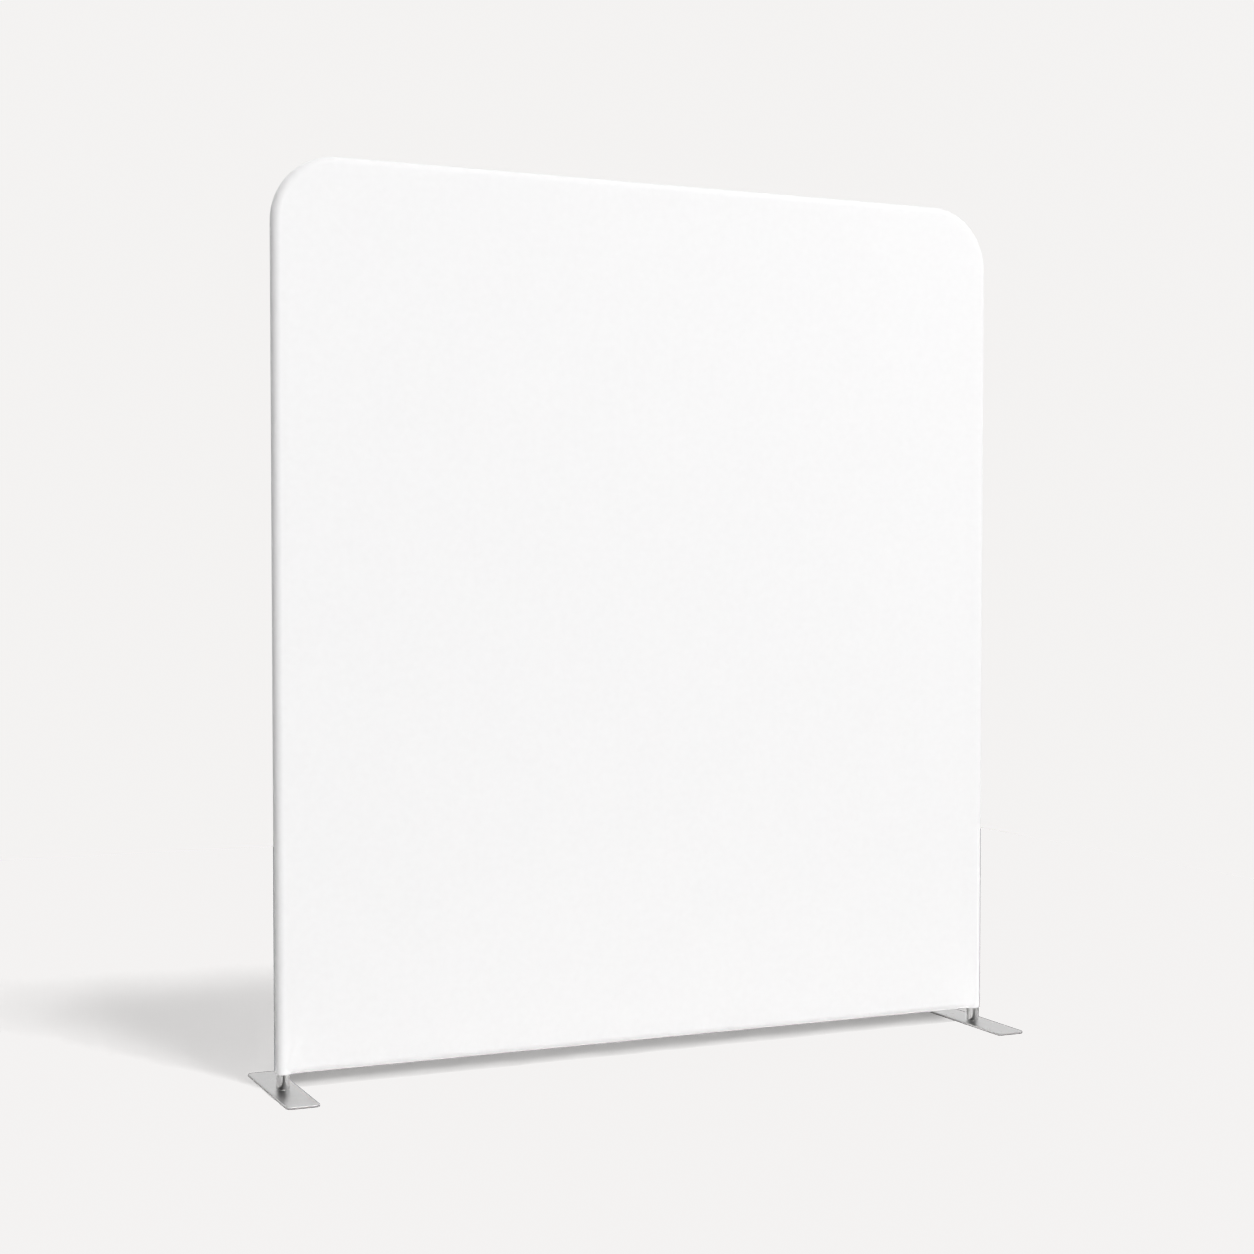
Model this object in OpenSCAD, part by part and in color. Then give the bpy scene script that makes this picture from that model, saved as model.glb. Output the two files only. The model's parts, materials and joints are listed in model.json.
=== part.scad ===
// Free-standing tension-fabric partition wall.
// Row frame: +X along the wall, -Y is the front face, +Z up.
// The origin lies on the floor, under the middle of the wall.
// All sizes are in millimetres.

/* [Wall] */
// Width over the cover, side to side
wall_w = 2000; // [1400:10:2600]
// Height of the cover, bottom edge to top edge
cover_h = 2200; // [1900:10:2600]
// Height of the cover's bottom edge above the floor
lift = 40; // [38:1:60]
// Thickness of the cover's cloth
cloth_t = 0.8; // [0.6:0.1:1.2]
// Space left between the cloth and the tube it is stretched over
cloth_gap = 0.3; // [0.2:0.1:0.6]

/* [Frame] */
// Outer diameter of the frame tube
tube_d = 38; // [36:1:42]
// Wall thickness of every frame tube
tube_wall = 1.5; // [1.2:0.1:2]
// Centreline radius of the two top corners
bend_r = 143; // [100:1:200]
// Straight length at each end of a corner bend
bend_leg = 90; // [80:1:120]
// Height of the joint in the middle of each upright
upright_joint_z = 1050; // [900:10:1080]
// Outer diameter of the middle cross bar
brace_d = 32; // [28:1:34]
// Height of the middle cross bar
brace_z = 1140; // [1130:5:1200]
// Length of the tee stubs welded on the uprights, from the upright's axis
stub_len = 95; // [90:1:130]
// Length of the inner sleeves that join two tubes
sleeve_len = 120; // [110:2:140]
// Radial play of a sleeve in its tube
sleeve_play = 0.1; // [0.05:0.05:0.2]

/* [Snap buttons] */
// Diameter of a snap button
button_d = 8; // [7:0.5:9]
// How far a button stands out of the tube
button_out = 2; // [1.5:0.1:2.5]
// How far a button can be pressed in
button_travel = 4; // [3.8:0.1:4.5]
// Radial play of a button in its holes
button_play = 0.35; // [0.25:0.05:0.5]

/* [Feet] */
// Length of a foot plate, front to back
plate_l = 380; // [300:5:500]
// Width of a foot plate
plate_w = 80; // [70:1:120]
// Thickness of a foot plate
plate_t = 5; // [5:0.5:8]
// Corner radius of a foot plate
plate_corner_r = 12; // [6:1:20]
// Radius on the edges of a foot plate
plate_edge_r = 0.9; // [0.4:0.1:1.5]
// Thickness of the pads under a foot plate
pad_t = 0.8; // [0.6:0.1:1.5]
// Diameter of the pads under a foot plate
pad_d = 18; // [12:1:24]
// Outer diameter of a post
post_d = 34; // [32:1:34]
// Wall thickness of a post
post_wall = 2; // [1.5:0.1:3]
// Chamfer on the ends of a post
post_chamfer = 0.7; // [0.3:0.1:1.2]
// Height of a post's top above the floor
post_top = 135; // [130:1:160]
// Height of the post's snap button
post_button_z = 105; // [100:1:115]

/* [Zip] */
// Height of the zip's middle line above the cover's bottom edge
zip_up = 49; // [48:1:60]
// Length of the zip
zip_len = 1900; // [1300:10:1900]
// Width of the visible zip strip between the two cloths
zip_show = 22; // [20:1:26]
// Width of each zip tape
tape_w = 16.4; // [15:0.1:18]
// Diameter of each row of coil
coil_d = 2.2; // [1.8:0.1:2.4]
// Slot between the two rows, in which the slider's neck runs
coil_slot = 0.8; // [0.8:0.1:1]
// Length of the slider
slider_l = 12; // [11:0.5:14]
// Length of the pull tab from its pivot
pull_l = 24; // [20:1:30]

/* [Hidden] */
$fn = 96;
eps = 0.01;
tr = tube_d / 2;                    // frame tube outer radius
ti = tr - tube_wall;                // frame tube inner radius
br = brace_d / 2;                   // cross bar outer radius
bi = br - tube_wall;                // cross bar inner radius
ci = tr + cloth_gap;                // cloth inner radius round a tube
co = ci + cloth_t;                  // cloth outer radius round a tube
xc = wall_w / 2 - co;               // axis of the uprights
zb = lift + co;                     // axis of the bottom rail
zt = lift + cover_h - co;           // axis of the top rail
bx = xc - bend_r;                   // centre of a corner bend, X
bz = zt - bend_r;                   // centre of a corner bend, Z
joint_top_z = bz - bend_leg;        // joint between upright and corner
joint_top_x = bx - bend_leg;        // joint between corner and top rail
stub_x = xc - stub_len;             // free end of the tee stubs
plate_top = pad_t + plate_t;
post_z = plate_top + 0.1;           // the post stands a hair above the plate it turns on
upright_z = lift + cloth_t + 1.4;   // lower end of the uprights
zz = lift + zip_up;                 // zip middle line
zy = co - cloth_t - 0.5;            // zip tape middle plane
row_z = coil_slot / 2 + coil_d / 2; // coil row from the zip's middle line
cloth_lo = zz - zip_show / 2;       // upper edge of the cloth that wraps the bottom rail
cloth_hi = zz + zip_show / 2;       // lower edge of the back cloth
slider_x = -(zip_len / 2 - 12);     // slider at the closed end
pull_y = zy + coil_d / 2 + 0.3 + 1 + 1.1;  // pivot of the pull

// ---------- placing helpers ----------

// a tube of outer radius ro and inner radius ri along +Z from z0 to z1
module tube_z(ro, ri, z0, z1) {
  translate([0, 0, z0]) difference() {
    cylinder(r = ro, h = z1 - z0);
    translate([0, 0, -1]) cylinder(r = ri, h = z1 - z0 + 2);
  }
}

// a tube along +X from x0 to x1 at height z
module tube_x(ro, ri, x0, x1, z) {
  translate([x0, 0, z]) rotate([0, 90, 0]) tube_z(ro, ri, 0, x1 - x0);
}

// a radial hole of radius r in a tube, at place p, towards direction d ("in", "up" or "down" as a turn)
module radial_hole(p, turn, r = button_d / 2 + button_play) {
  translate(p) rotate(turn) cylinder(r = r, h = tr + 3);
}

// turns that take +Z to the way a button faces
face_in_left = [0, 90, 0];    // towards +X, on the left upright
face_in_right = [0, -90, 0];  // towards -X, on the right upright
face_down = [180, 0, 0];
face_up = [0, 0, 0];

// where each button sits: a point on the tube's axis, and the way it faces
btn_off = 30;                 // from the joint to the button, along the tube
p_post_l = [-xc, 0, post_button_z];
p_post_r = [xc, 0, post_button_z];
p_up_l = [-xc, 0, upright_joint_z + btn_off];
p_up_r = [xc, 0, upright_joint_z + btn_off];
p_cor_l = [-xc, 0, joint_top_z + btn_off];
p_cor_r = [xc, 0, joint_top_z + btn_off];
p_top_l = [-joint_top_x + btn_off, 0, zt];
p_top_r = [joint_top_x - btn_off, 0, zt];
p_top_m = [btn_off, 0, zt];
p_bot_l = [-stub_x + btn_off, 0, zb];
p_bot_r = [stub_x - btn_off, 0, zb];
p_bot_m = [btn_off, 0, zb];
p_crs_l = [-stub_x + btn_off, 0, brace_z];
p_crs_r = [stub_x - btn_off, 0, brace_z];
p_crs_m = [btn_off, 0, brace_z];

// ---------- feet ----------

// upper or lower half of a bar's side, drawn for one edge: width w from the middle, thickness t, edge radius e
module bar_side(w, t, e) {
  square([w - e, t]);
  translate([w - e - 0.2, e]) square([e + 0.2, t - 2 * e]);
  for (y = [e, t - e]) translate([w - e, y]) circle(r = e);
}

module foot_plate(s) {
  hw = plate_w / 2;
  hl = plate_l / 2;
  rc = plate_corner_r;
  color("silver") translate([s * xc, 0, pad_t]) difference() {
    union() {
      // middle of the bar, full width
      translate([0, hl - rc, 0]) rotate([90, 0, 0]) linear_extrude(height = 2 * (hl - rc)) {
        bar_side(hw, plate_t, plate_edge_r);
        mirror([1, 0]) bar_side(hw, plate_t, plate_edge_r);
      }
      // both ends, between the corners
      for (m = [0, 1]) mirror([0, m, 0]) translate([-(hw - rc), hl - rc, 0])
        rotate([90, 0, 90]) linear_extrude(height = 2 * (hw - rc)) bar_side(rc, plate_t, plate_edge_r);
      // rounded corners
      for (mx = [0, 1], my = [0, 1]) mirror([mx, 0, 0]) mirror([0, my, 0])
        translate([hw - rc, hl - rc, 0]) rotate_extrude(angle = 90) bar_side(rc, plate_t, plate_edge_r);
    }
    // clearance hole and countersink of the pivot screw, sunk from below
    translate([0, 0, -1]) cylinder(r = 4.1, h = plate_t + 2);
    translate([0, 0, -eps]) cylinder(r1 = 8.3, r2 = 4.1, h = 4.2);
  }
}

module foot_pads(s) {
  color("dimgray") for (ix = [-1, 1], iy = [-1, 1])
    translate([s * xc + ix * (plate_w / 2 - pad_d / 2 - 4), iy * (plate_l / 2 - pad_d / 2 - 8), 0])
      cylinder(r = pad_d / 2, h = pad_t);
}

// countersunk M8 screw: it clamps the plate under the post, and the plate turns on it
module foot_screw(s) {
  color("gray") translate([s * xc, 0, pad_t]) difference() {
    union() {
      translate([0, 0, 0.2]) cylinder(r1 = 8.0, r2 = 4.0, h = 4.0);
      translate([0, 0, 0.2 + 3.9]) cylinder(r = 4.0, h = 18);
    }
    translate([0, 0, -1]) cylinder(r = 5 / sqrt(3), h = 3.4, $fn = 6);
  }
}

// turned plug welded in the post's lower end, tapped for the screw
module post_plug(s) {
  color("gray") translate([s * xc, 0, post_z]) difference() {
    cylinder(r = post_d / 2 - post_wall, h = 20);
    translate([0, 0, -1]) cylinder(r = 4.0, h = 22);
  }
}

module foot_post(s) {
  color("silver") difference() {
    translate([s * xc, 0, 0]) rotate_extrude() polygon([
      [post_d / 2 - post_wall, post_z], [post_d / 2 - post_chamfer, post_z], [post_d / 2, post_z + post_chamfer],
      [post_d / 2, post_top - post_chamfer], [post_d / 2 - post_chamfer, post_top], [post_d / 2 - post_wall, post_top]]);
    radial_hole([s * xc, 0, post_button_z], s < 0 ? face_in_left : face_in_right);
  }
}

// ---------- frame ----------

module upright_lower(s) {
  color("gainsboro") difference() {
    translate([s * xc, 0, 0]) tube_z(tr, ti, upright_z, upright_joint_z);
    radial_hole([s * xc, 0, post_button_z], s < 0 ? face_in_left : face_in_right);
  }
}

module upright_upper(s) {
  color("gainsboro") difference() {
    translate([s * xc, 0, 0]) tube_z(tr, ti, upright_joint_z, joint_top_z);
    radial_hole([s * xc, 0, upright_joint_z + btn_off], s < 0 ? face_in_left : face_in_right);
  }
}

module bend_profile() {
  difference() {
    translate([bend_r, 0]) circle(r = tr);
    translate([bend_r, 0]) circle(r = ti);
  }
}

// quarter bend from the upright to the top rail, with a straight leg at each end
module corner_bend(s) {
  color("gainsboro") mirror([s < 0 ? 1 : 0, 0, 0]) difference() {
    union() {
      translate([bx, 0, bz]) rotate([90, 0, 0]) rotate_extrude(angle = 90) bend_profile();
      translate([xc, 0, 0]) tube_z(tr, ti, joint_top_z, bz);
      tube_x(tr, ti, joint_top_x, bx, zt);
    }
    radial_hole([xc, 0, joint_top_z + btn_off], face_in_right);
  }
}

module top_rail(s) {
  color("gainsboro") difference() {
    if (s < 0) tube_x(tr, ti, -joint_top_x, 0, zt);
    else tube_x(tr, ti, 0, joint_top_x, zt);
    radial_hole([s * (joint_top_x - btn_off), 0, zt], face_down);
    if (s > 0) radial_hole(p_top_m, face_down);
  }
}

module bottom_rail(s) {
  color("gainsboro") difference() {
    if (s < 0) tube_x(tr, ti, -stub_x, 0, zb);
    else tube_x(tr, ti, 0, stub_x, zb);
    radial_hole([s * (stub_x - btn_off), 0, zb], face_up);
    if (s > 0) radial_hole(p_bot_m, face_up);
  }
}

module cross_bar(s) {
  color("gainsboro") difference() {
    if (s < 0) tube_x(br, bi, -stub_x, 0, brace_z);
    else tube_x(br, bi, 0, stub_x, brace_z);
    radial_hole([s * (stub_x - btn_off), 0, brace_z], face_down);
    if (s > 0) radial_hole(p_crs_m, face_down);
  }
}

// short stub coped and welded to the inner side of an upright
module tee_stub(s, ro, ri, z) {
  difference() {
    if (s < 0) tube_x(ro, ri, -xc + 6, -stub_x, z);
    else tube_x(ro, ri, stub_x, xc - 6, z);
    translate([s * xc, 0, z - 40]) cylinder(r = tr + eps, h = 80);
  }
}

module bottom_tee_stubs() {
  color("gainsboro") for (s = [-1, 1]) tee_stub(s, tr, ti, zb);
}

module cross_bar_tee_stubs() {
  color("gainsboro") for (s = [-1, 1]) tee_stub(s, br, bi, brace_z);
}

// inner sleeve across a joint in an upright
module sleeve_z(s, z, turn) {
  sr = ti - sleeve_play;
  color("lightsteelblue") difference() {
    translate([s * xc, 0, 0]) tube_z(sr, sr - tube_wall, z - sleeve_len / 2, z + sleeve_len / 2);
    radial_hole([s * xc, 0, z + btn_off], turn);
  }
}

// inner sleeve across a joint in a rail, the button bx0 from the joint
module sleeve_x(x, z, bore, off, turn) {
  sr = bore - sleeve_play;
  difference() {
    tube_x(sr, sr - tube_wall, x - sleeve_len / 2, x + sleeve_len / 2, z);
    radial_hole([x + off, 0, z], turn);
  }
}

module sleeves_bottom_rail() {
  color("lightsteelblue") {
    sleeve_x(-stub_x, zb, ti, btn_off, face_up);
    sleeve_x(0, zb, ti, btn_off, face_up);
    sleeve_x(stub_x, zb, ti, -btn_off, face_up);
  }
}

module sleeves_cross_bar() {
  color("lightsteelblue") {
    sleeve_x(-stub_x, brace_z, bi, btn_off, face_down);
    sleeve_x(0, brace_z, bi, btn_off, face_down);
    sleeve_x(stub_x, brace_z, bi, -btn_off, face_down);
  }
}

// ---------- snap buttons ----------

// a round-headed button facing +Z in a tube of outer radius ro; its foot lies inside
module snap_button(p, turn, ro) {
  dome = 1.2;
  foot = ro - 7;
  color("silver") translate(p) rotate(turn) {
    rotate_extrude() polygon(concat(
      [[0, foot], [button_d / 2, foot], [button_d / 2, ro + button_out - dome]],
      [for (a = [15:15:90]) [button_d / 2 - dome + dome * cos(a), ro + button_out - dome + dome * sin(a)]],
      [[0, ro + button_out]]));
  }
}

// folded leaf spring under a button: u runs along the tube, v towards the button
module leaf(p, turn, spin, ro, ri) {
  v1 = ro - 7;           // under the button's foot
  v0 = -(ri - 1.2);      // against the far wall
  t = 0.6;
  w = 7;
  translate(p) rotate(turn) rotate([0, 0, spin]) rotate([90, 0, 0])
    translate([0, 0, -w / 2]) linear_extrude(height = w) polygon([
      [-6, v1], [6, v1], [24, 1.2], [26, 0], [24, -1.2], [6, v0], [-6, v0],
      [-6, v0 + t], [5.7, v0 + t], [23.4, -0.8], [24.6, 0], [23.4, 0.8], [5.7, v1 - t], [-6, v1 - t]
    ]);
}

module snap_springs() {
  pr = post_d / 2 - post_wall;
  si = ti - sleeve_play - tube_wall;
  ki = bi - sleeve_play - tube_wall;
  color("darkgray") {
    for (q = [[p_post_l, face_in_left, 180], [p_post_r, face_in_right, 0]]) leaf(q[0], q[1], q[2], tr, pr);
    for (q = [[p_up_l, face_in_left, 0], [p_up_r, face_in_right, 180],
              [p_cor_l, face_in_left, 0], [p_cor_r, face_in_right, 180],
              [p_top_l, face_down, 180], [p_top_r, face_down, 0], [p_top_m, face_down, 180],
              [p_bot_l, face_up, 180], [p_bot_r, face_up, 0], [p_bot_m, face_up, 180]])
      leaf(q[0], q[1], q[2], tr, si);
    for (q = [[p_crs_l, face_down, 180], [p_crs_r, face_down, 0], [p_crs_m, face_down, 180]])
      leaf(q[0], q[1], q[2], br, ki);
  }
}

// ---------- cover ----------

// ring of the cloth round a tube, one quarter, from angle a
module cloth_quarter(a) {
  intersection() {
    difference() {
      circle(r = co);
      circle(r = ci);
    }
    rotate(a) square([co + 1, co + 1]);
  }
}

// half of the cover above the bottom rail: f = -1 is the front, 1 is the back
// drawn on the front side and mirrored for the back
module cloth_shell(z_flat) {
  // sides: a quarter round each side, standing between the bottom rail and the corner bends
  for (s = [-1, 1]) mirror([s > 0 ? 1 : 0, 0, 0])
    translate([-xc, 0, zb]) linear_extrude(height = bz - zb) cloth_quarter(180);
  // flat face
  translate([-xc, -co, z_flat]) cube([2 * xc, cloth_t, bz - z_flat]);
  // top: flat above the bends' centres, and the quarter round along the top rail
  translate([-bx, -co, bz]) cube([2 * bx, cloth_t, bend_r]);
  translate([-bx, 0, zt]) rotate([90, 0, 90]) linear_extrude(height = 2 * bx) cloth_quarter(90);
  // rounded top corners
  for (s = [-1, 1]) mirror([s < 0 ? 1 : 0, 0, 0])
    translate([bx, 0, bz]) rotate([90, 0, 0]) rotate_extrude(angle = 90) union() {
      translate([0, ci]) square([bend_r, cloth_t]);
      translate([bend_r, 0]) cloth_quarter(0);
    }
}

// outline of what the bottom of the cover is stretched over, grown to radius r
module bottom_core(r, low) {
  translate([-xc, 0, zb]) rotate([0, 90, 0]) cylinder(r = r, h = 2 * xc);
  for (s = [-1, 1]) translate([s * xc, 0, low]) cylinder(r = r, h = zb - low);
}

// the front cloth: it turns round the sides and the top to the seam,
// and wraps under the bottom rail up to the zip on the back
module cover_front() {
  color("white") union() {
    cloth_shell(zb);
    difference() {
      bottom_core(co, lift);
      bottom_core(ci, lift + cloth_t);
      translate([-wall_w, -50, zb]) cube([2 * wall_w, 100, 50]);
      for (s = [-1, 1]) translate([s * xc, 0, lift - 5]) cylinder(r = post_d / 2 + 0.6, h = 10);
    }
    translate([-zip_len / 2 - 8, ci, zb]) cube([zip_len + 16, cloth_t, cloth_lo - zb]);
  }
}

// the back cloth: from the seam at the sides and the top down to the zip
module cover_back() {
  color("white") union() {
    mirror([0, 1, 0]) cloth_shell(cloth_hi);
    for (s = [-1, 1]) mirror([s < 0 ? 1 : 0, 0, 0])
      translate([zip_len / 2 + 8.3, ci, zb]) cube([xc - zip_len / 2 - 8.3, cloth_t, cloth_hi - zb]);
  }
}

// ---------- zip ----------

module zip_tape(s) {
  z0 = s < 0 ? zz - row_z - coil_d / 2 - tape_w : zz + row_z + coil_d / 2;
  color("whitesmoke") translate([-zip_len / 2 - 6, zy - 0.3, z0]) cube([zip_len + 12, 0.6, tape_w]);
}

module zip_coil(s) {
  color("white") translate([-zip_len / 2, zy, zz + s * row_z]) rotate([0, 90, 0])
    cylinder(r = coil_d / 2, h = zip_len, $fn = 32);
}

// clamps at both ends of the coil rows
module zip_stops() {
  color("silver") for (s = [-1, 1])
    translate([s * (zip_len / 2 + 2.2), zy, zz]) cube([4, 3.2, 2 * row_z + coil_d], center = true);
}

// slider: two plates joined by a thin neck that runs between the two rows, and a bail for the pull
module zip_slider() {
  y_out = zy + coil_d / 2 + 0.3;
  y_in = zy - coil_d / 2 - 0.3;
  color("silver") translate([slider_x, 0, zz]) {
    union() {
      translate([-slider_l / 2, y_out, -4.5]) cube([slider_l, 1, 9]);
      translate([-slider_l / 2, y_in - 1, -4.5]) cube([slider_l, 1, 9]);
      translate([-slider_l / 2 + 2, y_in - 0.5, -0.15]) cube([slider_l - 4, y_out - y_in + 1, 0.3]);
      // bail: a half ring across the outer plate
      translate([0, y_out + 1, -0.6]) difference() {
        cylinder(r = 4.5, h = 1.2);
        translate([0, 0, -1]) cylinder(r = 3.4, h = 3.2);
        translate([-6, -12.5, -1]) cube([12, 12, 3.2]);
      }
    }
  }
}

// pull tab, lying along the zip; its end bar sits in the bail
module zip_pull() {
  color("silver") translate([slider_x, pull_y, zz]) union() {
    translate([0, 0, -2.5]) cylinder(r = 0.6, h = 5, $fn = 32);
    for (s = [-1, 1]) translate([0, -0.6, s > 0 ? 1.2 : -2.5]) cube([5.4, 1.2, 1.3]);
    translate([5.3, -0.6, -3]) cube([pull_l - 5.3 - 3, 1.2, 6]);
    translate([pull_l - 3, 0.6, 0]) rotate([90, 0, 0]) cylinder(r = 3, h = 1.2);
  }
}

// ---------- nodes ----------

foot_plate(-1);  // foot_plate_left
foot_plate(1);  // foot_plate_right
foot_pads(-1);  // foot_pads_left
foot_pads(1);  // foot_pads_right
foot_screw(-1);  // foot_screw_left
foot_screw(1);  // foot_screw_right
post_plug(-1);  // post_plug_left
post_plug(1);  // post_plug_right
foot_post(-1);  // foot_post_left
foot_post(1);  // foot_post_right
upright_lower(-1);  // upright_lower_left
upright_lower(1);  // upright_lower_right
upright_upper(-1);  // upright_upper_left
upright_upper(1);  // upright_upper_right
corner_bend(-1);  // corner_bend_left
corner_bend(1);  // corner_bend_right
top_rail(-1);  // top_rail_left
top_rail(1);  // top_rail_right
bottom_rail(-1);  // bottom_rail_left
bottom_rail(1);  // bottom_rail_right
cross_bar(-1);  // cross_bar_left
cross_bar(1);  // cross_bar_right
bottom_tee_stubs();
cross_bar_tee_stubs();
sleeve_z(-1, upright_joint_z, face_in_left);  // sleeve_upright_left
sleeve_z(1, upright_joint_z, face_in_right);  // sleeve_upright_right
sleeve_z(-1, joint_top_z, face_in_left);  // sleeve_corner_left
sleeve_z(1, joint_top_z, face_in_right);  // sleeve_corner_right
color("lightsteelblue") sleeve_x(-joint_top_x, zt, ti, btn_off, face_down);  // sleeve_top_left
color("lightsteelblue") sleeve_x(joint_top_x, zt, ti, -btn_off, face_down);  // sleeve_top_right
color("lightsteelblue") sleeve_x(0, zt, ti, btn_off, face_down);  // sleeve_top_middle
sleeves_bottom_rail();
sleeves_cross_bar();
snap_button(p_post_l, face_in_left, tr);  // button_post_left
snap_button(p_post_r, face_in_right, tr);  // button_post_right
snap_button(p_up_l, face_in_left, tr);  // button_upright_left
snap_button(p_up_r, face_in_right, tr);  // button_upright_right
snap_button(p_cor_l, face_in_left, tr);  // button_corner_left
snap_button(p_cor_r, face_in_right, tr);  // button_corner_right
snap_button(p_top_l, face_down, tr);  // button_top_left
snap_button(p_top_r, face_down, tr);  // button_top_right
snap_button(p_top_m, face_down, tr);  // button_top_middle
snap_button(p_bot_l, face_up, tr);  // button_bottom_left
snap_button(p_bot_r, face_up, tr);  // button_bottom_right
snap_button(p_bot_m, face_up, tr);  // button_bottom_middle
snap_button(p_crs_l, face_down, br);  // button_cross_left
snap_button(p_crs_r, face_down, br);  // button_cross_right
snap_button(p_crs_m, face_down, br);  // button_cross_middle
snap_springs();
cover_front();
cover_back();
zip_tape(-1);  // zip_tape_lower
zip_tape(1);  // zip_tape_upper
zip_coil(-1);  // zip_coil_lower
zip_coil(1);  // zip_coil_upper
zip_stops();
zip_slider();
zip_pull();
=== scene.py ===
import json
import math

import bmesh
import bpy
import numpy as np
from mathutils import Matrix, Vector, noise


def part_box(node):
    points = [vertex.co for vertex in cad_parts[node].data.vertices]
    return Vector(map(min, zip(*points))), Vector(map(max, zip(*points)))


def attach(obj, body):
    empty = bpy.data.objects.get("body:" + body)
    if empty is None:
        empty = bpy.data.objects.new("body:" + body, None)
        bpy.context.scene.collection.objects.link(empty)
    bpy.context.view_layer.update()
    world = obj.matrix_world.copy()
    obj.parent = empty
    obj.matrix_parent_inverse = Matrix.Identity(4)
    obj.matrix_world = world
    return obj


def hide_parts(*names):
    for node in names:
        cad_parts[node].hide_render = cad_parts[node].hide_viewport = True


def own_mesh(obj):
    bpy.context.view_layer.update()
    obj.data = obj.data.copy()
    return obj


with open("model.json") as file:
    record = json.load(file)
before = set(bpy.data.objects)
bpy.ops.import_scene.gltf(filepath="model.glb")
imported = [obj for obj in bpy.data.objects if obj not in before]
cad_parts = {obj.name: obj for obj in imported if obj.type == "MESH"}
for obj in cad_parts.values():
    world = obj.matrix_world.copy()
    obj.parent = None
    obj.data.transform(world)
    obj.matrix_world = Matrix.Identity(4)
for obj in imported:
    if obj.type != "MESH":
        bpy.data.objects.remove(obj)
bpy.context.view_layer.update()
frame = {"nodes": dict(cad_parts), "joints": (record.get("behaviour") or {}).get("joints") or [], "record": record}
NODES = frame["nodes"]
scene = bpy.context.scene

# ------------------------------------------------------------------ camera
YAW, PITCH = 0.4223, 0.0338
cam_data = bpy.data.cameras.new("camera")
cam_data.sensor_width = 36.0
cam_data.lens = 60.776
cam_data.shift_y = 0.02065
cam_data.clip_start, cam_data.clip_end = 0.05, 400.0
camera = bpy.data.objects.new("camera", cam_data)
scene.collection.objects.link(camera)
look = Vector((math.sin(YAW) * math.cos(PITCH), math.cos(YAW) * math.cos(PITCH), -math.sin(PITCH)))
camera.location = (-2.2956, -4.9456, 1.2243)
camera.rotation_mode = "QUATERNION"
camera.rotation_quaternion = look.to_track_quat("-Z", "Y")
scene.camera = camera

scene.view_settings.view_transform = "Standard"
scene.view_settings.look = "None"

# ------------------------------------------------------------------ sizes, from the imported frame
lo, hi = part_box("cover_front")
R_OUT = -lo.y                       # cloth's outer radius round a tube
XC = hi.x - R_OUT                   # axis of the uprights
ZB = lo.z + R_OUT                   # axis of the bottom rail
ZT = hi.z - R_OUT                   # axis of the top rail
BEND = 0.143                        # centreline radius of the top corners
THICK = 0.0007
RM = R_OUT - 0.0004                 # middle of the cloth
Z_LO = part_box("zip_tape_lower")[0].z
Z_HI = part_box("cover_back")[0].z
tape_lo, tape_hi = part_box("zip_tape_lower"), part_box("zip_tape_upper")
coil_lo, coil_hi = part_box("zip_coil_lower"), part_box("zip_coil_upper")
ZZ = (coil_lo[0].z + coil_hi[1].z) / 2      # middle of the zip
ZY = (tape_lo[0].y + tape_lo[1].y) / 2      # middle plane of the tapes
FLAP_Z = ZZ - 0.011                 # upper edge of the cloth that wraps the bottom rail
BACK_Z = ZZ + 0.011                 # lower edge of the back cloth
ZIP_X = 0.958                       # ends of the zip opening
POST_R = (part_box("foot_post_left")[1].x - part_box("foot_post_left")[0].x) / 2
HOLE_R = POST_R + 0.0006


# ------------------------------------------------------------------ mesh helpers
def link(name, mesh):
    o = bpy.data.objects.new(name, mesh)
    scene.collection.objects.link(o)
    return o


class Sheet:
    """Collects grids of points with flat-pattern coordinates, then welds them into one mesh."""

    def __init__(self):
        self.v, self.f, self.uv = [], [], []

    def grid(self, points, flat, keep=None, turn=False):
        p, q = np.asarray(points, float), np.asarray(flat, float)
        n, m = p.shape[:2]
        base = len(self.v)
        self.v.extend(map(tuple, p.reshape(-1, 3)))
        q = q.reshape(-1, 2)
        for i in range(n - 1):
            for j in range(m - 1):
                if keep is not None and not keep(p[i, j], p[i + 1, j + 1], p[i + 1, j], p[i, j + 1]):
                    continue
                c = [i * m + j, (i + 1) * m + j, (i + 1) * m + j + 1, i * m + j + 1]
                if turn:
                    c = c[::-1]
                self.f.append([base + k for k in c])
                self.uv.append([tuple(q[k]) for k in c])

    def mesh(self, name, weld=2e-5):
        me = bpy.data.meshes.new(name)
        bm = bmesh.new()
        vs = [bm.verts.new(v) for v in self.v]
        layer = bm.loops.layers.uv.new("flat")
        for f, uv in zip(self.f, self.uv):
            try:
                face = bm.faces.new([vs[k] for k in f])
            except ValueError:
                continue
            for lp, c in zip(face.loops, uv):
                lp[layer].uv = c
        bmesh.ops.remove_doubles(bm, verts=bm.verts, dist=weld)
        bmesh.ops.dissolve_degenerate(bm, dist=1e-6, edges=bm.edges)
        loose = [v for v in bm.verts if not v.link_faces]
        bmesh.ops.delete(bm, geom=loose, context="VERTS")
        for face in bm.faces:
            face.smooth = True
        bm.normal_update()
        bm.to_mesh(me)
        bm.free()
        return me


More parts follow.
